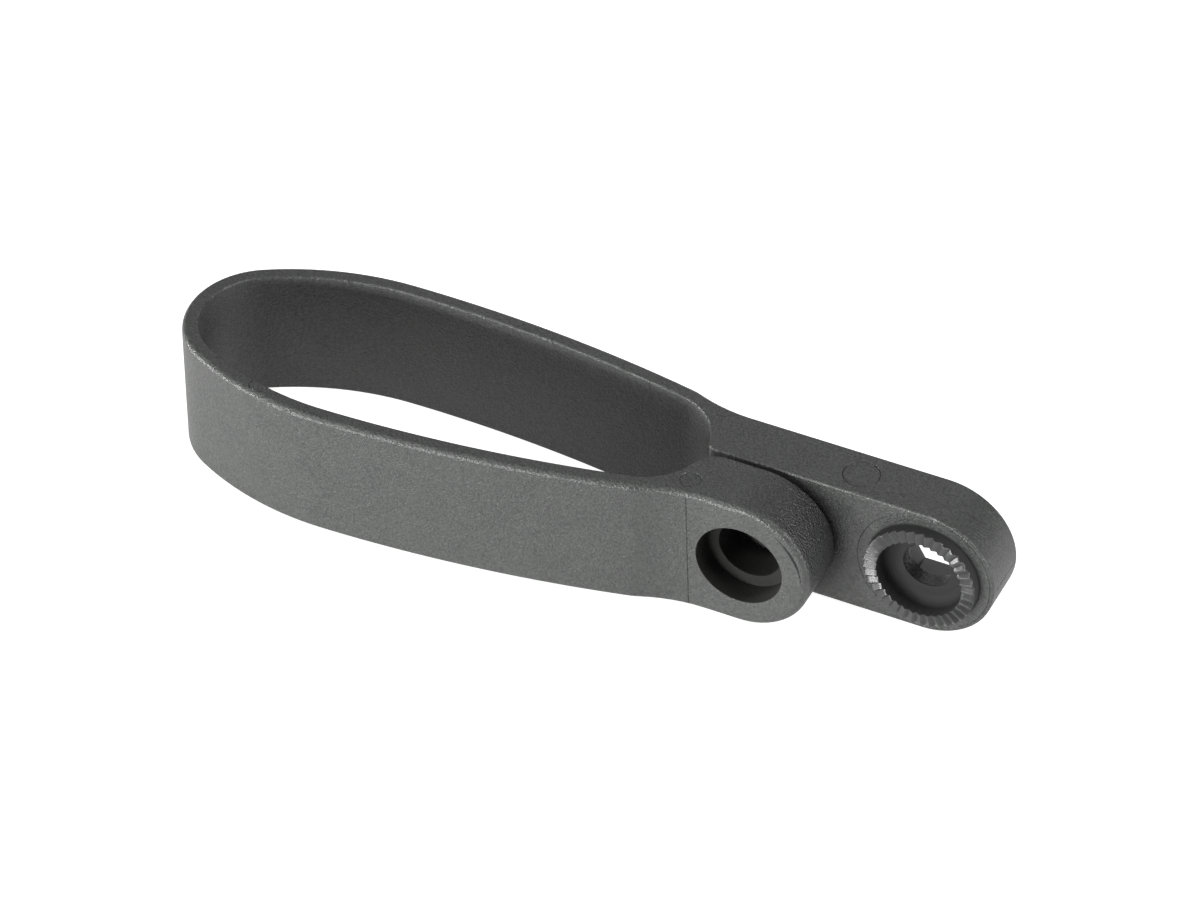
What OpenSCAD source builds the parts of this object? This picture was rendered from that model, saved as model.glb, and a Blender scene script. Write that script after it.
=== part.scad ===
// One-piece clamp band that carries a rear reflector on an aerofoil seatpost.
// The opening is a teardrop of tangent arcs. One end of the band is a thick lug for the
// clamp bolt, and the other runs on behind it as an arm with a toothed seat at its tip.
// The origin is the centre of the toothed face. +X points from the band to the arm's tip,
// +Y points away from the reflector and +Z is up. Sizes are in millimetres.

/* [Band] */
// Height of the band, the lug and the arm
band_h = 15.5; // [13:0.5:18]
// Wall of the band
band_wall = 1.8; // [1.4:0.1:2.4]
// Rounding along every long edge
edge_r = 0.5; // [0.3:0.05:0.65]
// Turn of the opening's centre line from the line of the arm, in degrees
band_turn = 1.45; // [0:0.05:3]

/* [Opening for the seatpost] */
// Greatest width of the opening
open_w = 20.2; // [18:0.2:23]
// Radius inside the nose, at the front of the seatpost
nose_r = 7.1; // [5:0.1:8.5]
// Radius of the shoulder between the nose and the long side
shoulder_r = 31; // [26:0.5:40]
// Radius of the long side
side_r = 161; // [130:1:220]
// Radius inside the tail, next to the slit
tail_r = 6.8; // [6.2:0.1:7.6]
// Distance of the tail's centre from the middle of the slit, towards the lug
tail_shift = 0.28; // [0:0.02:0.5]

/* [Clamp] */
// Slit between the lug and the arm
slit_w = 0.5; // [0.3:0.1:1.2]
// Radius of the lug's lip at the mouth of the slit
lug_lip_r = 3; // [1.5:0.1:3.4]
// Radius of the arm's lip at the mouth of the slit
arm_lip_r = 1.4; // [1.4:0.1:2]
// Thickness of the lug
lug_t = 6.7; // [5.5:0.1:7.4]
// Distance from the opening's tail to the clamp bolt's axis
clamp_reach = 7; // [6.5:0.1:9]
// Concave radius where the band runs into the lug and the arm
root_r = 18; // [10:0.5:24]
// Diameter of the recess for the bolt's head
head_d = 9.6; // [8.8:0.1:11]
// Depth of that recess
head_depth = 2.8; // [2:0.1:4]
// Diameter of the hole through the lug
lug_hole_d = 7; // [5.5:0.1:7.5]
// Diameter of the bolt's hole through the arm, behind the lug
clamp_hole_d = 5.5; // [5.2:0.1:6]

/* [Arm and toothed seat] */
// Thickness of the arm
arm_t = 6.2; // [5.6:0.1:7]
// Distance between the clamp bolt and the reflector's bolt
bolt_pitch = 17.4; // [17:0.1:24]
// Outer diameter of the toothed ring
seat_d = 12.3; // [11.6:0.1:13.5]
// Diameter of the cup inside the ring
cup_d = 9.6; // [8.8:0.1:10.4]
// Height of the ring's crests above the arm's face
seat_h = 1.4; // [1:0.1:2]
// Depth of the cup's floor below the arm's face
cup_depth = 1; // [0.5:0.1:1.4]
// Diameter of the hole for the reflector's bolt
bolt_hole_d = 5.4; // [5.2:0.1:6]
// Number of teeth
tooth_count = 36; // [24:1:48]
// Depth of the gaps between the teeth, at the ring's outer edge
tooth_depth = 0.5; // [0.3:0.05:0.7]
// Flat left on each crest, as a share of the pitch
crest_share = 0.1; // [0.05:0.01:0.25]

/* [Nut pockets] */
// Width across the flats of the nut pockets
nut_af = 8.1; // [8:0.05:8.4]
// Depth of the nut pockets from the arm's back
nut_depth = 3.4; // [2.6:0.1:3.8]

/* [Ejector pin marks] */
// Diameter of the mark on the arm
arm_mark_d = 3.8; // [3:0.1:4.6]
// Diameter of the mark beside the lug
lug_mark_d = 2.3; // [1.6:0.1:3]
// Distance of that mark's middle from the lug's face
lug_mark_in = 2.1; // [1.8:0.1:3.4]
// Diameter of the mark on the band's edge
band_mark_d = 2.2; // [1.4:0.1:2.8]
// Distance of that mark from the opening's widest place, towards the nose
band_mark_x = 7.5; // [4:0.5:12]
// Depth of the marks
mark_depth = 0.15; // [0.05:0.05:0.3]

/* [Hidden] */
$fn = 96;

half_h = band_h / 2;
half_w = open_w / 2;
half_slit = slit_w / 2;
mid_r = tail_r + band_wall / 2;     // middle of the wall round the tail
skin_t = band_wall - edge_r;        // wall of a piece whose outer side is buried
lap = 1;                            // length by which joined pieces run into each other
hair = 0.005;                       // step by which the bends of the band miss being flush
bite = 0.01;                        // depth to which an arc cuts the wall that it would just touch
seam = 0.1;                         // length of the overlap where two bends of the band meet
dig_a = 15;                         // angle by which a lip's arc runs on into the tail's wall
bury_a = 0.4;                       // angle by which the tail's wall ends short, inside the lip
crest_clear = 0.02;                 // height above the crests at which a tooth gap's cut ends
tail_x = -bolt_pitch - clamp_reach - tail_r;
face_y = seat_h;                    // front face of the arm
lug_y = face_y - slit_w - lug_t;    // front face of the lug

// The slit's two walls and the two outer faces, as distances from the tail's centre
arm_wall = half_slit + tail_shift;
arm_face = arm_wall + arm_t;
lug_wall = half_slit - tail_shift;
lug_face = lug_wall + lug_t;

// Distance along the centre line from the widest place to the centre of an end arc
function reach(arc_r, end_r) = sqrt(pow(arc_r - end_r, 2) - pow(arc_r - half_w, 2));
// Angle from the centre line at which an end arc meets the arc beside it
function meet(arc_r, end_r) = atan2(arc_r - half_w, reach(arc_r, end_r));
nose_x = reach(shoulder_r, nose_r);
nose_a = meet(shoulder_r, nose_r);
tail_back = reach(side_r, tail_r);
tail_a = meet(side_r, tail_r);

// A root's concave arc meets the outside of the tail and a flat face, and a lip's arc meets the
// inside of the tail and a wall of the slit. These are the place of the arc's centre along X, from
// the tail's centre, and the angle at which it meets the tail.
function arc_x(to_centre, off) = round(1000 * sqrt(pow(to_centre, 2) - pow(off, 2))) / 1000;
function root_x(face) = arc_x(tail_r + band_wall + root_r - bite, face + root_r);
function root_a(face) = atan2(face + root_r, root_x(face));
function lip_x(wall, lip_r) = arc_x(tail_r + lip_r - bite, wall + lip_r);
function lip_a(wall, lip_r) = atan2(wall + lip_r, lip_x(wall, lip_r));
function polar(r, a) = [r * cos(a), r * sin(a)];

// Section of a wall from x = 0 to x = t, with its inner and outer edges rounded
module wall_section(t, r_in, r_out, top) {
    translate([r_in, -top]) square([t - r_in - r_out, 2 * top]);
    if (r_in > 0) wall_edge(r_in, top);
    if (r_out > 0) translate([t, 0]) mirror([1, 0]) wall_edge(r_out, top);
}

module wall_edge(r, top) {
    translate([0, r - top]) square([r, 2 * (top - r)]);
    for (z = [r - top, top - r]) translate([r, z]) circle(r);
}

// Wall bent round the Z axis, from one angle to another
module bend(r, t, from, to, r_in = edge_r, r_out = edge_r) {
    rotate_extrude(angle = to - from, start = from)
        translate([r, 0]) wall_section(t, r_in, r_out, half_h);
}

// The band's own wall, bent likewise, a hair thicker all round and longer at both ends,
// so that the plain bends beside it end inside it
module sleeve_bend(r, from, to) {
    over_a = seam / r * 180 / PI;
    rotate_extrude(angle = to - from + 2 * over_a, start = from - over_a) translate([r - hair, 0])
        wall_section(band_wall + 2 * hair, edge_r + hair, edge_r + hair, half_h + hair);
}

// Straight wall along X, between two distances from the middle of the slit
module bar(from, to, y_in, y_out, r_in = edge_r, r_out = edge_r) {
    translate([from, y_in, 0]) rotate([90, 0, 90])
        linear_extrude(to - from) wall_section(y_out - y_in, r_in, r_out, half_h);
}

// The band as a chain of tangent arcs, from the middle of its tail: one nose, and a shoulder,
// a long side and half of the tail on each side. Only the tail knows how far the band is turned.
module band_loop() {
    translate([-tail_back - nose_x, 0, 0]) sleeve_bend(nose_r, 180 - nose_a, 180 + nose_a);
    for (side = [0, 1]) mirror([0, side, 0]) {
        turn = band_turn * (1 - 2 * side);
        mouth_a = side == 0 ? lip_a(arm_wall, arm_lip_r) : lip_a(lug_wall, lug_lip_r);
        translate([-tail_back, half_w - shoulder_r, 0]) bend(shoulder_r, band_wall, 90, 180 - nose_a);
        translate([-tail_back, half_w - side_r, 0]) sleeve_bend(side_r, tail_a, 90);
        bend(tail_r, band_wall, mouth_a + bury_a - turn, tail_a);
    }
}

// One side of the slit, from the tail to a bolt's axis. Outside, the tail runs into the flat face
// on a concave root. Inside, it turns into the slit round a lip. The edges of both are rounded a
// hair more than the band's, so that no two roundings end at one point.
module shank(wall, face, lip_r, end_x) {
    out_x = root_x(face);
    out_a = root_a(face);
    in_x = lip_x(wall, lip_r);
    in_a = lip_a(wall, lip_r);
    in_y = wall + lip_r;
    core_y = face - band_wall / 2;
    root_c = [out_x, face + root_r];
    translate(root_c) bend(root_r, skin_t, 180 + out_a, 270, edge_r + hair, 0);
    translate([in_x, in_y]) bend(0, lip_r, 180 + in_a - dig_a, 270, 0, edge_r + hair);
    bar(in_x, end_x, wall, core_y, edge_r, 0);
    bar(out_x, end_x, in_y, face, 0, edge_r);
    translate([0, 0, -half_h]) linear_extrude(band_h) polygon([
        polar(mid_r, out_a),
        polar(mid_r, (out_a + in_a) / 2),
        polar(mid_r, in_a + 8 * bury_a),
        [in_x, in_y],
        [max(in_x, out_x) + lap, in_y],
        [max(in_x, out_x) + lap, core_y],
        [out_x, core_y],
        root_c + polar(root_r + band_wall / 2, 225 + out_a / 2)
    ]);
}

// Full-round end about a bolt's axis, from the front face at z = 0 to the back at z = -t
module round_end(t) {
    rotate_extrude(angle = 180, start = -90) {
        translate([0, -t]) square([half_h - edge_r, t]);
        translate([0, edge_r - t]) square([half_h, t - 2 * edge_r]);
        for (z = [-edge_r, edge_r - t]) translate([half_h - edge_r, z]) circle(edge_r);
    }
}

// Turns +Z to point out of the front face, at a bolt's axis
module on_bolt(x, y) {
    translate([x, y, 0]) rotate([90, 0, 0]) children();
}

// Band with the lug and the arm, before the holes
module blank() {
    translate([tail_x, face_y - arm_wall, 0]) {
        rotate([0, 0, band_turn]) band_loop();
        shank(arm_wall, arm_face, arm_lip_r, -tail_x);
        mirror([0, 1, 0]) shank(lug_wall, lug_face, lug_lip_r, -tail_x - bolt_pitch);
    }
    on_bolt(0, face_y) round_end(arm_t);
    on_bolt(-bolt_pitch, lug_y) round_end(lug_t);
}

// One gap between two teeth: a V whose bottom rises to the axis, so every gap narrows inwards.
// It is cut off inside the cup and just above the crests, where it is clear of its neighbours.
module tooth_gap() {
    rise_a = atan(tooth_depth / (seat_d / 2));
    half_gap = tan(180 / tooth_count) * seat_d / 2 * (1 - crest_share);
    flank = half_gap / tooth_depth;
    cut_w = 4 * half_gap;
    intersection() {
        rotate([90 + rise_a, 0, 90]) linear_extrude(seat_d)
            polygon([[0, 0], [flank * lap, lap], [-flank * lap, lap]]);
        translate([(cup_d - lap) / 2, -cut_w / 2, -2 * tooth_depth])
            cube([seat_d, cut_w, 2 * tooth_depth + crest_clear]);
    }
}

// Ring of teeth round the reflector's bolt, with its crests at z = 0
module toothed_ring() {
    difference() {
        translate([0, 0, -seat_h - lap]) cylinder(d = seat_d, h = seat_h + lap);
        for (i = [0 : tooth_count - 1]) rotate([0, 0, (i + 0.5) * 360 / tooth_count]) tooth_gap();
    }
}

// Hexagonal pocket that opens at the arm's back, with its corners along X
module nut_pocket() {
    translate([0, 0, -arm_t - lap]) cylinder(d = nut_af / cos(30), h = nut_depth + lap, $fn = 6);
}

// Round mark of an ejector pin in the upper edge
module mark(x, y, d) {
    translate([x, y, half_h - mark_depth]) cylinder(d = d, h = mark_depth + lap);
}

module bracket() {
    shoulder_y = sqrt(pow(shoulder_r, 2) - pow(band_mark_x, 2));
    color("#4b4c50") difference() {
        union() {
            blank();
            on_bolt(0, 0) toothed_ring();
        }
        // cup, bolt hole and nut pocket of the reflector
        on_bolt(0, face_y) {
            translate([0, 0, -cup_depth]) cylinder(d = cup_d, h = cup_depth + seat_h + lap);
            translate([0, 0, -arm_t - lap]) cylinder(d = bolt_hole_d, h = arm_t + seat_h + 2 * lap);
            nut_pocket();
        }
        // recess and hole in the lug, then the clamp bolt's hole and nut pocket in the arm
        on_bolt(-bolt_pitch, lug_y) {
            translate([0, 0, -head_depth]) cylinder(d = head_d, h = head_depth + lap);
            translate([0, 0, -lug_t - half_slit]) cylinder(d = lug_hole_d, h = lug_t + half_slit + lap);
        }
        on_bolt(-bolt_pitch, face_y) {
            translate([0, 0, -arm_t - lap]) cylinder(d = clamp_hole_d, h = arm_t + lap + half_slit);
            nut_pocket();
        }
        // marks of the ejector pins on the upper edge of the arm, the lug and the band
        mark(-bolt_pitch / 2, face_y + arm_t / 2, arm_mark_d);
        mark(-bolt_pitch - clamp_reach, lug_y + lug_mark_in, lug_mark_d);
        translate([tail_x, face_y - arm_wall, 0]) rotate([0, 0, band_turn])
            mark(-tail_back - band_mark_x, shoulder_r - half_w - shoulder_y - edge_r, band_mark_d);
    }
}

bracket();
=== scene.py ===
from math import atan2, cos, hypot, pi, radians, sin, sqrt

import bmesh
import bpy
from mathutils import Matrix, Vector


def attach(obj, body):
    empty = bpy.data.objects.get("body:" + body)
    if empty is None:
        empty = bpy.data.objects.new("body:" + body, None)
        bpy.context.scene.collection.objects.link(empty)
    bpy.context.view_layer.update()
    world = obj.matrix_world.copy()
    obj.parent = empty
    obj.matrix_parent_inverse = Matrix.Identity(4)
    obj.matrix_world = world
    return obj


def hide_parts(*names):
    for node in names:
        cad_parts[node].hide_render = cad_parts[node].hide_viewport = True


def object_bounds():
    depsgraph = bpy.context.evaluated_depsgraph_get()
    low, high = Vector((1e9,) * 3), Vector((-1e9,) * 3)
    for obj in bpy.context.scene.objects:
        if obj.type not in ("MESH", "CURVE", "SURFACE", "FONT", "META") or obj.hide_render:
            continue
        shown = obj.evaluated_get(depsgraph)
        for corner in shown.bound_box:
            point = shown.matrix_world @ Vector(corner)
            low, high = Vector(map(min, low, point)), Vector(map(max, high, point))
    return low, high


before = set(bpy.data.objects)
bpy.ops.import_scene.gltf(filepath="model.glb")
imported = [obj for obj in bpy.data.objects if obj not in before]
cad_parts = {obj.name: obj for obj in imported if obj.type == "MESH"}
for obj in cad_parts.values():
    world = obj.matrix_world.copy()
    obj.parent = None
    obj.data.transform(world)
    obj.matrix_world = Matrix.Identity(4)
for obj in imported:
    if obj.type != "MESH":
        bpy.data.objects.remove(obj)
cad_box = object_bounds()


# ---------------------------------------------------------------- band, lug and arm
# One injection moulding in glass-filled nylon: a strap bent round the seatpost in a teardrop, with
# a thick lug at one end, an arm behind it at the other, and a slit between them. The mould gives
# the strap and the lug fuller edges than the arm.

# Sizes are in millimetres, and every point is scaled to metres as it enters a mesh
half_h = 7.75
arm_front, arm_back = 1.4, 7.6  # the arm's faces, along Y
lug_front, lug_back = -5.8, 0.9
lug_axis = -17.4  # the clamp bolt's axis, along X: the reflector's bolt is at 0
outer_edge, thin_edge = 0.68, 0.27  # edge radii

# The opening is a chain of arcs along a line that turns a little from the arm: tail, sides,
# shoulders and nose. The wall is even all the way round.
tail_x, tail_y = -31.2, 0.87
turn = radians(1.45)
wall = 1.8
half_w = 10.1
nose_r, shoulder_r, side_r, tail_r = 7.1, 31.0, 161.0, 6.8
root_r, lug_lip_r, arm_lip_r = 18.0, 3.0, 1.2  # blends outside, and where the slit opens


def along_opening(x, y):
    """Place of a point given along and across the opening, from its tail's centre."""
    return tail_x + x * cos(turn) - y * sin(turn), tail_y + x * sin(turn) + y * cos(turn)


def arc_reach(arc_r, end_r):
    """Distance along the opening from a widest arc's centre to that of the arc that ends it."""
    return sqrt((arc_r - end_r) ** 2 - (arc_r - half_w) ** 2)


def blend_place(off, away):
    """Distance along X, and angle, to a blend's centre from the tail's. Off is how far it lies to
    the side, and away how far in all."""
    x = sqrt(away**2 - off**2)
    return x, atan2(off, x)


widest = arc_reach(side_r, tail_r)  # the widest place, from the tail's centre
nose_reach = arc_reach(shoulder_r, nose_r)
tail_a = atan2(side_r - half_w, widest)
nose_a = atan2(shoulder_r - half_w, nose_reach)
tail_c = (tail_x, tail_y)
nose_c = along_opening(-widest - nose_reach, 0)
arm_shoulder_c = along_opening(-widest, half_w - shoulder_r)
lug_shoulder_c = along_opening(-widest, shoulder_r - half_w)
arm_side_c = along_opening(-widest, half_w - side_r)
lug_side_c = along_opening(-widest, side_r - half_w)

arm_lip_x, arm_lip_a = blend_place(arm_front + arm_lip_r - tail_y, tail_r + arm_lip_r)
lug_lip_x, lug_lip_a = blend_place(tail_y - lug_back + lug_lip_r, tail_r + lug_lip_r)
arm_root_x, arm_root_a = blend_place(arm_back + root_r - tail_y, tail_r + wall + root_r)
lug_root_x, lug_root_a = blend_place(tail_y - lug_front + root_r, tail_r + wall + root_r)
arm_lip_c = (tail_x + arm_lip_x, arm_front + arm_lip_r)
lug_lip_c = (tail_x + lug_lip_x, lug_back - lug_lip_r)
arm_root_c = (tail_x + arm_root_x, arm_back + root_r)
lug_root_c = (tail_x + lug_root_x, lug_front - root_r)

outline = []  # (x, y, normal into the plastic, edge radius), seen from above


def add_line(x0, y0, x1, y1, edge, steps):
    """Straight run of the outline. The plastic lies to its right."""
    length = hypot(x1 - x0, y1 - y0)
    nx, ny = (y1 - y0) / length, -(x1 - x0) / length
    for i in range(steps + 1):
        t = i / steps
        outline.append((x0 + (x1 - x0) * t, y0 + (y1 - y0) * t, nx, ny, edge))


def add_arc(centre, r, a0, a1, plastic_outside, edge0, edge1=None):
    """Arc from angle a0 to a1. The plastic lies outside the circle or inside it."""
    edge1 = edge0 if edge1 is None else edge1
    side = 1 if plastic_outside else -1
    step_angle, step_mm = radians(5), 1.2  # about the longest steps
    steps = max(6, int(abs(a1 - a0) / step_angle), int(abs(a1 - a0) * r / step_mm))
    for i in range(steps + 1):
        t = i / steps
        a = a0 + (a1 - a0) * t
        nx, ny = side * cos(a), side * sin(a)
        edge = edge0 + (edge1 - edge0) * t
        outline.append((centre[0] + r * cos(a), centre[1] + r * sin(a), nx, ny, edge))


# Centre, radius, first and last angle, in order round the opening from the arm to the lug
band_arcs = [
    (arm_side_c, side_r, tail_a + turn, pi / 2 + turn),
    (arm_shoulder_c, shoulder_r, pi / 2 + turn, pi - nose_a + turn),
    (nose_c, nose_r, pi - nose_a + turn, pi + nose_a + turn),
    (lug_shoulder_c, shoulder_r, pi + nose_a + turn, 1.5 * pi + turn),
    (lug_side_c, side_r, 1.5 * pi + turn, 2 * pi - tail_a + turn),
]

# Round the opening, from the arm's front face to the lug's face inside the slit
add_line(0, arm_front, arm_lip_c[0], arm_front, thin_edge, 24)
add_arc(arm_lip_c, arm_lip_r, 1.5 * pi, pi + arm_lip_a, False, thin_edge)
add_arc(tail_c, tail_r, arm_lip_a, tail_a + turn, True, thin_edge)
for centre, r, first, last in band_arcs:
    add_arc(centre, r, first, last, True, thin_edge)
add_arc(tail_c, tail_r, -tail_a + turn, -lug_lip_a, True, thin_edge)
add_arc(lug_lip_c, lug_lip_r, pi - lug_lip_a, pi / 2, False, thin_edge)
add_line(lug_lip_c[0], lug_back, lug_axis, lug_back, thin_edge, 6)
lug_gap = len(outline)
# Round the outside, from the lug's front face to the arm's back
add_line(lug_axis, lug_front, lug_root_c[0], lug_front, outer_edge, 6)
add_arc(lug_root_c, root_r, pi / 2, pi - lug_root_a, True, outer_edge)
add_arc(tail_c, tail_r + wall, -lug_root_a, -tail_a + turn, False, outer_edge)
for centre, r, first, last in reversed(band_arcs):
    add_arc(centre, r + wall, last, first, False, outer_edge)
add_arc(tail_c, tail_r + wall, tail_a + turn, arm_root_a, False, outer_edge)
add_arc(arm_root_c, root_r, pi + arm_root_a, 1.5 * pi, True, outer_edge, thin_edge)
add_line(arm_root_c[0], arm_back, 0, arm_back, thin_edge, 16)


def quarter_round(steps):
    """Rounded corner of radius 1: how far each point has gone from one face, and how far is left
    to the other."""
    angles = [pi / 2 * k / steps for k in range(steps + 1)]
    return [(1 - cos(a), 1 - sin(a)) for a in angles]


def column(edge):
    """One column of the wall, from the bottom up: each point's step into the plastic and height."""
    low = [(edge * left, -half_h + edge * gone) for gone, left in quarter_round(6)]
    middle = [(0.0, quarter / 4 * (half_h - edge)) for quarter in range(-3, 4)]
    return low + middle + [(step, -z) for step, z in reversed(low)]


bm = bmesh.new()


def vert(x, y, z):
    """Adds a point, given in millimetres, to the mesh in hand."""
    return bm.verts.new((x / 1000, y / 1000, z / 1000))


same_point = 2e-7  # metres: neighbouring arcs share their end points
columns = []
for x, y, nx, ny, edge in outline:
    columns.append([vert(x + nx * step, y + ny * step, z) for step, z in column(edge)])
levels = len(columns[0])
for i in range(len(columns) - 1):
    if i == lug_gap - 1:
        continue  # the lug's round end starts here
    for k in range(levels - 1):
        bm.faces.new((columns[i][k], columns[i + 1][k], columns[i + 1][k + 1], columns[i][k + 1]))
for k in (0, levels - 1):
    border = []
    for points in columns:
        if not border or (points[k].co - border[-1].co).length > same_point:
            border.append(points[k])
    bm.faces.new(border)


def round_end(axis_x, front, back, front_edge, back_edge, steps=36):
    """Half-round end about a bolt's axis. Its section is the wall's, turned through 180 degrees."""
    middle = levels // 2
    front_half = [(front + step, z) for step, z in column(front_edge)[middle:]]
    back_half = [(back - step, z) for step, z in column(back_edge)[middle:]]
    section = front_half + back_half[::-1]
    rows = []
    for i in range(steps + 1):
        a = pi * i / steps
        rows.append([vert(axis_x + q * sin(a), y, q * cos(a)) for y, q in section])
    for a, b in zip(rows, rows[1:]):
        for k in range(len(section) - 1):
            bm.faces.new((a[k], a[k + 1], b[k + 1], b[k]))


round_end(0, arm_front, arm_back, thin_edge, thin_edge)
round_end(lug_axis, lug_front, lug_back, outer_edge, thin_edge)
bmesh.ops.remove_doubles(bm, verts=bm.verts, dist=same_point)
bmesh.ops.dissolve_degenerate(bm, edges=bm.edges, dist=1e-8)
bmesh.ops.recalc_face_normals(bm, faces=bm.faces)
blank_mesh = bpy.data.meshes.new("bracket_blank")
bm.to_mesh(blank_mesh)
bm.free()
moulding = bpy.data.objects.new("moulded_bracket", blank_mesh)
bpy.context.scene.collection.objects.link(moulding)


def linear(hex_colour):
    """sRGB hex colour as linear numbers."""
    parts = [int(hex_colour[i : i + 2], 16) / 255 for i in (1, 3, 5)]
    return [c / 12.92 if c <= 0.04045 else ((c + 0.055) / 1.055) ** 2.4 for c in parts] + [1.0]


def new_finish(name):
    """A material with an empty node tree."""
    finish = bpy.data.materials.new(name)
    finish.use_nodes = True
    finish.node_tree.nodes.clear()
    return finish, finish.node_tree


def add_node(tree, kind, settings=None, links=None):
    """Adds one node, sets its properties and sockets by name, and links outputs into its inputs."""
    node = tree.nodes.new(kind)
    for name, value in (settings or {}).items():
        if isinstance(name, int):
            node.inputs[name].default_value = value
        elif hasattr(node, name):
            setattr(node, name, value)
        else:
            node.inputs[name].default_value = value
    for name, source in (links or {}).items():
        tree.links.new(source, node.inputs[name])
    return node


# Glass-filled nylon 6 off a spark-eroded tool wall. The pits scatter light, so the dark pigment
# looks a soft mid grey, and the glass near the skin shows as paler flecks. Real grain is about
# 0.05 mm: it is drawn at 0.24 mm, about two pixels, since a finer one would not show.
nylon_ior = 1.53
grain_mm, fleck_mm, patch_mm = 0.24, 0.3, 3.0
pit_deep_mm, coarse_extra_mm = 0.10, 0.11
patch_share = 0.22  # how much the broad patches count in the tone, against 1 for the flecks
tone_dark, tone_pale = 0.36, 0.86  # levels of that mixture where the pigment is darkest and palest
painted_shade_amount = 0.6  # how far that patch is painted darker, as painted shade on the lug's end
nylon, tree = new_finish("spark_eroded_glass_filled_nylon")
place = add_node(tree, "ShaderNodeTexCoord")
along = add_node(tree, "ShaderNodeSeparateXYZ", links={"Vector": place.outputs["Object"]})
grain = add_node(
    tree,
    "ShaderNodeTexNoise",
    {"Scale": 1000 / grain_mm, "Detail": 1.5, "Roughness": 0.55},
    {"Vector": place.outputs["Object"]},
)
# The tool is eroded more coarsely at the lug's round end, between its front face and the slit. The
# coarser patch fades in over 6 mm towards the end, and over 0.6 mm behind the front face.
towards_end = add_node(
    tree,
    "ShaderNodeMapRange",
    {"From Min": (lug_axis - 1.1) / 1000, "From Max": (lug_axis + 4.9) / 1000},
    {"Value": along.outputs["X"]},
)
behind_front = add_node(
    tree,
    "ShaderNodeMapRange",
    {"From Min": (lug_front + 0.4) / 1000, "From Max": (lug_front + 1.0) / 1000},
    {"Value": along.outputs["Y"]},
)
before_arm = add_node(
    tree,
    "ShaderNodeMath",
    {"operation": "LESS_THAN", 1: (lug_back + arm_front) / 2 / 1000},
    {0: along.outputs["Y"]},
)
on_end = add_node(
    tree,
    "ShaderNodeMath",
    {"operation": "MULTIPLY"},
    {0: towards_end.outputs["Result"], 1: behind_front.outputs["Result"]},
)
coarse_and_shaded = add_node(
    tree,
    "ShaderNodeMath",
    {"operation": "MULTIPLY"},
    {0: on_end.outputs[0], 1: before_arm.outputs[0]},
)
pit_depth = add_node(
    tree,
    "ShaderNodeMath",
    {"operation": "MULTIPLY_ADD", 1: coarse_extra_mm / 1000, 2: pit_deep_mm / 1000},
    {0: coarse_and_shaded.outputs[0]},
)
pits = add_node(
    tree,
    "ShaderNodeBump",
    {"Strength": 1.0},
    {"Height": grain.outputs["Fac"], "Distance": pit_depth.outputs[0]},
)
fleck = add_node(
    tree,
    "ShaderNodeTexNoise",
    {"Scale": 1000 / fleck_mm, "Detail": 1.0, "Roughness": 0.5},
    {"Vector": place.outputs["Object"]},
)
patch = add_node(
    tree,
    "ShaderNodeTexNoise",
    {"Scale": 1000 / patch_mm, "Detail": 2.0, "Roughness": 0.5},
    {"Vector": place.outputs["Object"]},
)
shade = add_node(
    tree,
    "ShaderNodeMath",
    {"operation": "MULTIPLY_ADD", 1: patch_share},
    {0: patch.outputs["Fac"], 2: fleck.outputs["Fac"]},
)
tone = add_node(
    tree,
    "ShaderNodeMapRange",
    {"From Min": tone_dark, "From Max": tone_pale},
    {"Value": shade.outputs[0]},
)
pigment = add_node(
    tree,
    "ShaderNodeMix",
    {"data_type": "RGBA", "blend_type": "MIX", 6: linear("#393a39"), 7: linear("#505250")},
    {0: tone.outputs["Result"]},
)
# Painted shade: beside its coarser grain, the patch at the lug's end is mixed towards near black
painted_end_shade = add_node(
    tree, "ShaderNodeMath", {"operation": "MULTIPLY", 1: painted_shade_amount}, {0: coarse_and_shaded.outputs[0]}
)
skin = add_node(
    tree,
    "ShaderNodeMix",
    {"data_type": "RGBA", "blend_type": "MIX", 7: linear("#1c1c1c")},
    {0: painted_end_shade.outputs[0], 6: pigment.outputs[2]},
)
plastic = add_node(
    tree,
    "ShaderNodeBsdfPrincipled",
    {"Roughness": 0.38, "IOR": nylon_ior},
    {"Base Color": skin.outputs[2], "Normal": pits.outputs["Normal"]},
)
add_node(tree, "ShaderNodeOutputMaterial", links={"Surface": plastic.outputs["BSDF"]})
moulding.data.materials.append(nylon)


# ---------------------------------------------------------------- holes through the lug and the arm
# Core pins leave a recess for the clamp bolt's head and a smaller hole behind its shelf. In line
# with them the arm has a bolt hole that opens into a hexagonal pocket for the nut. The pins are
# ground steel, not eroded, so that they draw out.
head_r, head_rim, shank_r, arm_bolt_r = 4.8, 0.05, 3.5, 2.75
shelf_y = lug_front + 2.8
nut_flats, nut_deep = 8.1, 3.4
seat_hole_r = 5.5  # the seat is a mesh of its own, and fills this hole


def nylon_off_cut_steel(name, marks_mm, deep_mm, look):
    """The same nylon off a steel face that was cut, not eroded, with the marks of the cutting."""
    finish, tree = new_finish(name)
    place = add_node(tree, "ShaderNodeTexCoord")
    marks = add_node(
        tree,
        "ShaderNodeTexNoise",
        {"Scale": 1000 / marks_mm, "Detail": 1.5, "Roughness": 0.55},
        {"Vector": place.outputs["Object"]},
    )
    mark_bump = add_node(
        tree,
        "ShaderNodeBump",
        {"Strength": 1.0, "Distance": deep_mm / 1000},
        {"Height": marks.outputs["Fac"]},
    )
    plastic = add_node(
        tree,
        "ShaderNodeBsdfPrincipled",
        {"IOR": nylon_ior, **look},
        {"Normal": mark_bump.outputs["Normal"]},
    )
    add_node(tree, "ShaderNodeOutputMaterial", links={"Surface": plastic.outputs["BSDF"]})
    return finish
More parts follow.
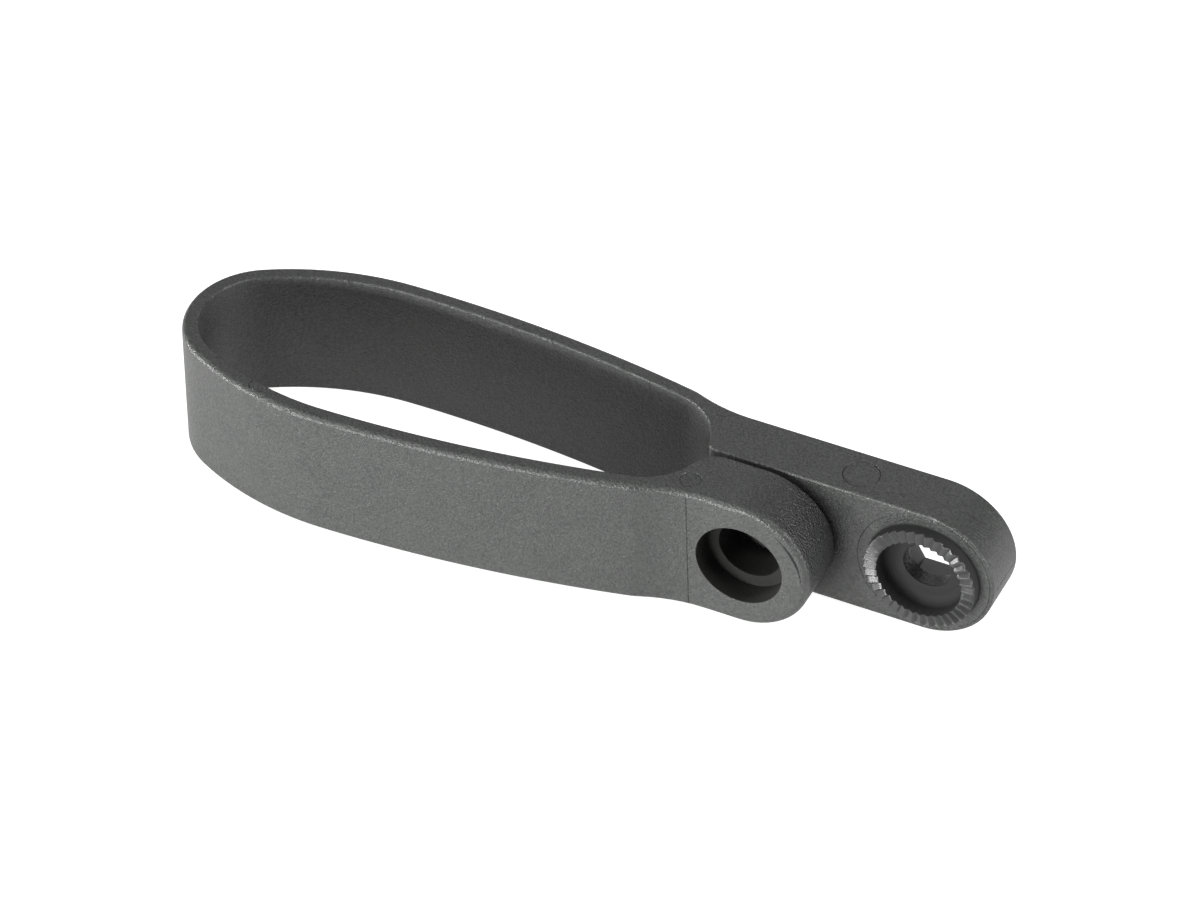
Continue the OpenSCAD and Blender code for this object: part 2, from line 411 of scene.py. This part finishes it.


# Nylon off ground pins is painted near black with hardly a sheen, as painted shade in the recess
# and the holes. Real grinding marks are about 0.02 mm: they are drawn at 0.2 mm to show.
ground_mm, ground_deep_mm = 0.2, 0.06
ground_nylon_painted_shade = nylon_off_cut_steel(
    "nylon_off_ground_pins_painted_shade",
    ground_mm,
    ground_deep_mm,
    {"Base Color": linear("#323231"), "Roughness": 0.6, "Specular IOR Level": 0.08},
)
moulding.data.materials.append(ground_nylon_painted_shade)
eroded, ground, turned, milled = range(4)  # the bracket's finishes, by their order on it

skew = 0.37  # part of a step that rings are turned by, to keep their points off the bracket's own


def cutter(name, rings, finish, closed=False):
    """Solid through rings of points, to be cut from the moulding. Closed makes it run round."""
    bm = bmesh.new()
    rows = [[bm.verts.new((x / 1000, y / 1000, z / 1000)) for x, y, z in ring] for ring in rings]
    n = len(rows[0])
    for a, b in zip(rows, rows[1:] + rows[:1] if closed else rows[1:]):
        for i in range(n):
            bm.faces.new((a[i], a[(i + 1) % n], b[(i + 1) % n], b[i]))
    if not closed:
        bm.faces.new(rows[0])
        bm.faces.new(rows[-1])
    bmesh.ops.recalc_face_normals(bm, faces=bm.faces)
    for face in bm.faces:
        face.material_index = finish
    mesh = bpy.data.meshes.new(name)
    bm.to_mesh(mesh)
    bm.free()
    mesh.materials.append(nylon)
    mesh.materials.append(ground_nylon_painted_shade)
    solid = bpy.data.objects.new(name, mesh)
    bpy.context.scene.collection.objects.link(solid)
    return solid


def core_pin(name, axis_x, profile, sides=96, start=skew):
    """Pin about a bolt's axis, from (y, radius) pairs. With 6 sides it is a nut's pocket."""
    angles = [2 * pi * (i + start) / sides for i in range(sides)]
    rings = [[(axis_x + r * cos(a), y, r * sin(a)) for a in angles] for y, r in profile]
    return cutter(name, rings, ground)


# From the mouth inwards. The shelf's two corners are rounded by about 0.15 mm, and every cutter
# runs a little past the faces that it opens.
recess = [(lug_front - 1, head_r + head_rim)]
for gone, left in quarter_round(5):
    recess.append((lug_front + head_rim * gone, head_r + head_rim * left))
recess += [(shelf_y - 0.15, head_r), (shelf_y - 0.04, head_r - 0.04), (shelf_y, head_r - 0.15)]
recess += [(shelf_y, shank_r + 0.15), (shelf_y + 0.05, shank_r + 0.04), (shelf_y + 0.15, shank_r)]
recess.append((lug_back + 0.2, shank_r))
arm_bolt = [(arm_front - 0.2, arm_bolt_r), (arm_back - nut_deep + 0.1, arm_bolt_r)]
nut_corner_r = nut_flats / 2 / cos(pi / 6)
arm_nut = [(arm_back - nut_deep, nut_corner_r), (arm_back + 1, nut_corner_r)]
# The pins' faces take the ground finish, painted near black as painted shade in the recess and
# holes
cutters = [
    core_pin("clamp_bolt_core", lug_axis, recess),
    core_pin("arm_bolt_core", lug_axis, arm_bolt),
    core_pin("arm_nut_core", lug_axis, arm_nut, sides=6, start=0),
    core_pin("seat_core", 0, [(arm_front - 1, seat_hole_r), (arm_back + 1, seat_hole_r)]),
]


# ---------------------------------------------------------------- ejector pin marks
# Steel pins that pushed the moulding out of the tool left round marks in its upper edge. Each mark
# is a little sunk, and ringed by a groove where the pin's rim pressed into the warm plastic.
pin_groove_wide, pin_groove_deep = 0.09, 0.12
pin_above = 0.4  # a mark's cutter stands this far out of the plastic


def pin_mark(name, x, y, r, sunk):
    """Cutter for one mark: a disc with a deeper V round its rim."""
    slope = pin_groove_wide / pin_groove_deep
    profile = [
        (r - slope * (pin_groove_deep - sunk), half_h - sunk),
        (r, half_h - pin_groove_deep),
        (r + slope * (pin_groove_deep + pin_above), half_h + pin_above),
    ]
    angles = [2 * pi * (i + skew) / 72 for i in range(72)]
    rings = [[(x + q * cos(a), y + q * sin(a), z) for a in angles] for q, z in profile]
    return cutter(name, rings, eroded)


cutters += [
    pin_mark("arm_pin", -8.4, 4.4, 1.93, 0.03),
    pin_mark("lug_pin", -23.8, -3.8, 1.08, 0.07),
    pin_mark("strap_pin", -70.4, -9.6, 1.05, 0.04),
]


# ---------------------------------------------------------------- lines left by the tool's inserts
# Where a steel insert meets the rest of the tool, or the tool's two halves meet, the plastic keeps
# a hairline. Real ones are a few hundredths of a millimetre wide: these are V grooves just wide
# enough to see.
hairline = (0.07, 0.06)  # half width and depth
groove_above = 0.1  # a groove's cutter stands this far out of the plastic


def groove(name, into, path, closed=False):
    """Cutter along (point, half width, depth). Into points into the plastic."""
    into = Vector(into)
    rings = []
    for i, (here, half_width, depth) in enumerate(path):
        here = Vector(here)
        after = Vector(path[(i + 1) % len(path)][0]) if closed or i + 1 < len(path) else here
        before = Vector(path[i - 1][0]) if closed or i else here
        across = (after - before).normalized().cross(into)
        half_top = across * half_width / depth * (depth + groove_above)
        top = here - into * groove_above
        rings.append([here + into * depth, top + half_top, top - half_top])
    return cutter(name, rings, eroded, closed)


# Round the reflector's seat
seat_insert_r = 7.34
seat_line = []
for i in range(120):
    a = 2 * pi * (i + skew) / 120
    seat_line.append(((seat_insert_r * cos(a), arm_front, seat_insert_r * sin(a)), *hairline))
# Across the strap's root, before the lug, and leaning a little
lug_insert_x, lug_insert_lean = -23.15, 0.027
lug_line = []
for i in range(13):
    z = (half_h + 0.2) * (i / 6 - 1)
    x = lug_insert_x - lug_insert_lean * z
    y = lug_root_c[1] + sqrt(root_r**2 - (x - lug_root_c[0]) ** 2)
    lug_line.append(((x, y, z), *hairline))
# The lug's insert has worn at its rim, so its line beside the recess swells into a crescent
crescent = []
for i in range(25):
    t = i / 24
    a = radians(54 - 56 * t)
    r = 6.68 + 0.32 * t**2
    swell = sin(pi * min(t * 1.05, 1)) ** 2
    here = (lug_axis + r * cos(a), lug_front, r * sin(a))
    crescent.append((here, 0.03 + 0.12 * swell, 0.03 + 0.2 * swell))
# Across the arm's tip, where the tool's halves meet
parting_z = -0.15
parting_start, parting_end = arm_front + 0.7, arm_back - 0.3
parting = []
for i in range(7):
    y = parting_start + (parting_end - parting_start) * i / 6
    parting.append(((half_h, y, parting_z), 0.08, 0.07))
cutters += [
    groove("seat_insert_line", (0, 1, 0), seat_line, closed=True),
    groove("lug_insert_line", (0, 1, 0), lug_line),
    groove("lug_insert_crescent", (0, 1, 0), crescent),
    groove("parting_line", (-1, 0, 0), parting),
]
for solid in cutters:
    cut = moulding.modifiers.new(solid.name, "BOOLEAN")
    cut.operation = "DIFFERENCE"
    cut.solver = "EXACT"
    cut.object = solid
shaped = bpy.data.meshes.new_from_object(
    moulding.evaluated_get(bpy.context.evaluated_depsgraph_get())
)
moulding.modifiers.clear()
sliver = 2e-6  # metres: shorter edges, left by the cuts, are closed up
bm = bmesh.new()
bm.from_mesh(shaped)
bmesh.ops.remove_doubles(bm, verts=bm.verts, dist=sliver)
bm.to_mesh(shaped)
bm.free()
moulding.data = shaped
for solid in cutters:
    bpy.data.objects.remove(solid)


# ---------------------------------------------------------------- toothed seat
# Round seat for the reflector, moulded in one with the arm: 36 teeth that bite on the reflector's
# own, a cup inside them, and the bolt hole, which opens into the nut's hexagonal pocket. The steel
# insert that shapes it is turned, and its teeth are milled.
ring_r, cup_r, bolt_hole_r = 6.15, 4.7, 2.62
floor_y = arm_front + 1.0
pocket_y = arm_back - nut_deep
pocket_flats = 7.95  # a little tighter than the pocket behind the lug
foot_r, bolt_hole_rim = 0.12, 0.12
bowl_deep, bowl_wide = 1.0, 1.1  # the curve in which the cup's wall runs into its floor
tooth_count = 36
tooth_pitch = 2 * pi / tooth_count
tooth_depth = 0.36
tooth_end = 0.06  # how far the teeth's ends are rounded
first_crest = radians(4.4)  # its place round the axis
steep_share = 0.375  # of the pitch: the teeth lean, and this flank is the steeper one
crest_round = 0.05  # of the pitch, to each side of a crest
crest_lift = 0.045  # of the depth: most of the height that the rounding takes off

# Nylon off turned steel, with fine rings. Its colour is painted dark and dull, as painted shade in
# the cup and on the ring's outer wall and foot.
# They are drawn at 0.25 mm, coarser than the real feed of about 0.05 mm, so that they show.
turn_mm, turn_deep_mm = 0.25, 0.002
turned_nylon_painted_shade, tree = new_finish("nylon_off_turned_insert_painted_shade")
place = add_node(tree, "ShaderNodeTexCoord")
off_axis = add_node(
    tree,
    "ShaderNodeVectorMath",
    {"operation": "MULTIPLY", 1: (1, 0, 1)},
    {0: place.outputs["Object"]},
)
axis_distance = add_node(
    tree, "ShaderNodeVectorMath", {"operation": "LENGTH"}, {0: off_axis.outputs[0]}
)
turns = add_node(
    tree,
    "ShaderNodeMath",
    {"operation": "MULTIPLY", 1: 2 * pi / (turn_mm / 1000)},
    {0: axis_distance.outputs["Value"]},
)
rings = add_node(tree, "ShaderNodeMath", {"operation": "SINE"}, {0: turns.outputs[0]})
ring_bump = add_node(
    tree,
    "ShaderNodeBump",
    {"Strength": 1.0, "Distance": turn_deep_mm / 1000},
    {"Height": rings.outputs[0]},
)
plastic = add_node(
    tree,
    "ShaderNodeBsdfPrincipled",
    {"Base Color": linear("#242524"), "Roughness": 0.8, "IOR": nylon_ior},
    {"Normal": ring_bump.outputs["Normal"]},
)
add_node(tree, "ShaderNodeOutputMaterial", links={"Surface": plastic.outputs["BSDF"]})
moulding.data.materials.append(turned_nylon_painted_shade)

# Nylon off milled steel is flat and fairly smooth, so that single teeth catch a lamp. Real milling
# marks are about 0.02 mm: they too are drawn at 0.2 mm to show, but shallower.
milled_mm, milled_deep_mm = 0.2, 0.01
milled_nylon = nylon_off_cut_steel(
    "nylon_off_milled_teeth",
    milled_mm,
    milled_deep_mm,
    {"Base Color": linear("#404140"), "Roughness": 0.3},
)
moulding.data.materials.append(milled_nylon)

# Places across one tooth, as shares of the pitch from its crest, closer on the crest and the root
tooth_marks = (-0.05, -0.025, 0, 0.025, 0.05, 0.2, 0.335, 0.375, 0.415, 0.56, 0.74, 0.88)
around = [first_crest + tooth_pitch * (k + t) for k in range(tooth_count) for t in tooth_marks]


def tooth_drop(t, r):
    """Depth of the toothed surface below the crests: a leaning V with its crest just rounded."""
    steep, gentle = 1 / steep_share, 1 / (1 - steep_share)
    if abs(t) <= crest_round:
        s = t + crest_round
        v = gentle * (crest_round - s) + (steep + gentle) * s**2 / (4 * crest_round)
    elif t < steep_share:
        v = steep * t
    else:
        v = gentle * (1 - t)
    return tooth_depth * r / ring_r * max(v - crest_lift, 0)


bm = bmesh.new()
seat_rows = []  # (points once round the axis, finish of the faces between them and the next row)


def add_row(y, r, finish, toothed=False):
    """Adds a row of radius r. With no radius it follows the flats of the nut's pocket."""
    row = []
    for i, a in enumerate(around):
        q = r or pocket_flats / 2 / cos(a % (pi / 3) - pi / 6)
        drop = tooth_drop(tooth_marks[i % len(tooth_marks)], r) if toothed else 0
        row.append(vert(q * cos(a), y + drop, q * sin(a)))
    seat_rows.append((row, finish))


# The seat's body, inside the arm
add_row(arm_back, seat_hole_r, eroded)
add_row(arm_front + 0.5, seat_hole_r, turned)
add_row(arm_front + 0.3, ring_r + 0.3, turned)
# The ring's wall and foot and the cup take the turned finish, painted dark as painted shade
# The ring, with a fillet at its foot
for gone, left in quarter_round(4):
    add_row(arm_front - foot_r * gone, ring_r + foot_r * left, turned)
add_row(0.75, ring_r, turned)
# The teeth, with their ends just rounded
add_row(tooth_end, ring_r, milled, toothed=True)
add_row(tooth_end / 4, ring_r - tooth_end / 3, milled, toothed=True)
crest_out, crest_in = ring_r - tooth_end, cup_r + tooth_end
for k in range(5):
    add_row(0.0, crest_out + (crest_in - crest_out) * k / 4, milled, toothed=True)
add_row(tooth_end / 4, cup_r + tooth_end / 3, turned, toothed=True)
add_row(tooth_end, cup_r, turned, toothed=True)
# The cup, and the bolt hole's rounded rim in its floor
for gone, left in quarter_round(12):
    add_row(floor_y - bowl_deep * left, cup_r - bowl_wide * gone, turned)
for gone, left in quarter_round(4)[:-1]:
    add_row(floor_y + bolt_hole_rim * gone, bolt_hole_r + bolt_hole_rim * left, turned)
# The bolt hole, and the nut's pocket, which is milled like the teeth
add_row(floor_y + bolt_hole_rim, bolt_hole_r, eroded)
add_row(pocket_y - 0.05, bolt_hole_r, eroded)
add_row(pocket_y, bolt_hole_r + 0.05, milled)
add_row(pocket_y, None, milled)
add_row(pocket_y + 0.6, None, milled)
add_row(arm_back, None, eroded)
for (a, finish), (b, _) in zip(seat_rows, seat_rows[1:] + seat_rows[:1]):
    for i in range(len(around)):
        k = (i + 1) % len(around)
        bm.faces.new((a[i], a[k], b[k], b[i])).material_index = finish
bmesh.ops.recalc_face_normals(bm, faces=bm.faces)
if bm.calc_volume() < 0:
    bmesh.ops.reverse_faces(bm, faces=bm.faces)
bm.from_mesh(moulding.data)
bm.to_mesh(moulding.data)
bm.free()
for polygon in moulding.data.polygons:
    polygon.use_smooth = True
moulding.data.set_sharp_from_angle(angle=radians(34))
even = moulding.modifiers.new("even_shading", "WEIGHTED_NORMAL")
even.mode = "FACE_AREA"
even.keep_sharp = True
even.weight = 100
even.thresh = 0.01
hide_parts("bracket")
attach(moulding, "root")


# ---------------------------------------------------------------- studio floor, lamps and camera
# A pale matt table that shows white to the camera and keeps a faint shadow under the bracket. Four
# low strip lamps graze its walls from the front and the sides, and five softboxes stand higher.

# Sizes from here on are in metres
floor_half, floor_below = 1.5, 0.00002
studio_middle = Vector((-0.035, 0, 0))
bm = bmesh.new()
bmesh.ops.create_grid(bm, x_segments=1, y_segments=1, size=floor_half)
floor_mesh = bpy.data.meshes.new("studio_floor")
bm.to_mesh(floor_mesh)
bm.free()
floor = bpy.data.objects.new("studio_floor", floor_mesh)
floor.location = (studio_middle.x, studio_middle.y, cad_box[0][2] - floor_below)
bpy.context.scene.collection.objects.link(floor)

# Matt white card. It glows to the camera, and at less than half of that in the bracket's sheen.
paper, tree = new_finish("matt_white_paper")
seen = add_node(tree, "ShaderNodeLightPath")
mirrored = add_node(
    tree,
    "ShaderNodeMath",
    {"operation": "MULTIPLY", 1: 0.45},
    {0: seen.outputs["Is Glossy Ray"]},
)
seen_or_mirrored = add_node(
    tree,
    "ShaderNodeMath",
    {"operation": "MAXIMUM"},
    {0: seen.outputs["Is Camera Ray"], 1: mirrored.outputs[0]},
)
glow_share = add_node(
    tree, "ShaderNodeMath", {"operation": "MULTIPLY", 1: 0.9}, {0: seen_or_mirrored.outputs[0]}
)
glow = add_node(
    tree, "ShaderNodeEmission", {"Color": linear("#ffffff")}, {"Strength": glow_share.outputs[0]}
)
matt = add_node(tree, "ShaderNodeBsdfDiffuse", {"Color": linear("#e6e6e6")})
both = add_node(tree, "ShaderNodeAddShader", links={0: matt.outputs[0], 1: glow.outputs[0]})
add_node(tree, "ShaderNodeOutputMaterial", links={"Surface": both.outputs[0]})
floor_mesh.materials.append(paper)

world = bpy.data.worlds.new("studio_room")
world.use_nodes = True
tree = world.node_tree
tree.nodes.clear()
room = add_node(tree, "ShaderNodeBackground", {"Color": linear("#ffffff"), "Strength": 0.03})
add_node(tree, "ShaderNodeOutputWorld", links={"Surface": room.outputs[0]})
bpy.context.scene.world = world


def towards(side, height):
    """Direction that is side degrees to the right of the front and height degrees up."""
    a, e = radians(side), radians(height)
    return Vector((sin(a) * cos(e), -cos(a) * cos(e), sin(e)))


def aim_matrix(place, target, roll=0.0):
    """Matrix of a camera or lamp that stands at place and looks at target."""
    back = (place - target).normalized()
    side = Vector((0, 0, 1)).cross(back).normalized()
    up = back.cross(side)
    right = side * cos(roll) + up * sin(roll)
    up = back.cross(right)
    turned_axes = Matrix((right, up, back)).transposed().to_4x4()
    return Matrix.Translation(place) @ turned_axes


lamp_away = 1.1
for name, side, height, wide, high, watts in (
    ("low_strip_front", -10, 2.2, 0.3, 0.08, 6.5),
    ("low_strip_front_left", -30, 2.2, 0.3, 0.08, 6),
    ("low_strip_left", -70, 2.2, 0.3, 0.08, 9),
    ("low_strip_right", 95, 2.2, 0.3, 0.08, 3.5),
    ("softbox_right", 90, 40, 0.4, 0.4, 6.3),
    ("softbox_front", -26, 42, 0.25, 0.25, 1.8),
    ("softbox_high_left", -50, 62, 0.25, 0.25, 2.0),
    ("softbox_behind", 180, 35, 0.5, 0.5, 1.4),
    ("softbox_behind_left", -150, 35, 0.5, 0.5, 0.7),
):
    lamp = bpy.data.lights.new(name, "AREA")
    lamp.shape = "RECTANGLE"
    lamp.size = wide
    lamp.size_y = high
    lamp.energy = watts
    holder = bpy.data.objects.new(name, lamp)
    lamp_place = studio_middle + towards(side, height) * lamp_away
    holder.matrix_world = aim_matrix(lamp_place, studio_middle)
    bpy.context.scene.collection.objects.link(holder)

# The camera stands at the photograph's angle, to the right of the front and well above it
camera_side, camera_height, camera_roll = 25.833, 41.435, radians(-0.303)
camera_away = 0.6304
camera_aim = Vector((-0.03653, 0.0014, 0.002776))
lens = bpy.data.cameras.new("studio_camera")
lens.sensor_fit = "HORIZONTAL"
lens.sensor_width = 36
lens.lens = 182.65
lens.clip_start = 0.01
camera = bpy.data.objects.new("studio_camera", lens)
camera_place = camera_aim + towards(camera_side, camera_height) * camera_away
camera.matrix_world = aim_matrix(camera_place, camera_aim, camera_roll)
bpy.context.scene.collection.objects.link(camera)
bpy.context.scene.camera = camera
bpy.context.scene.view_settings.view_transform = "Standard"
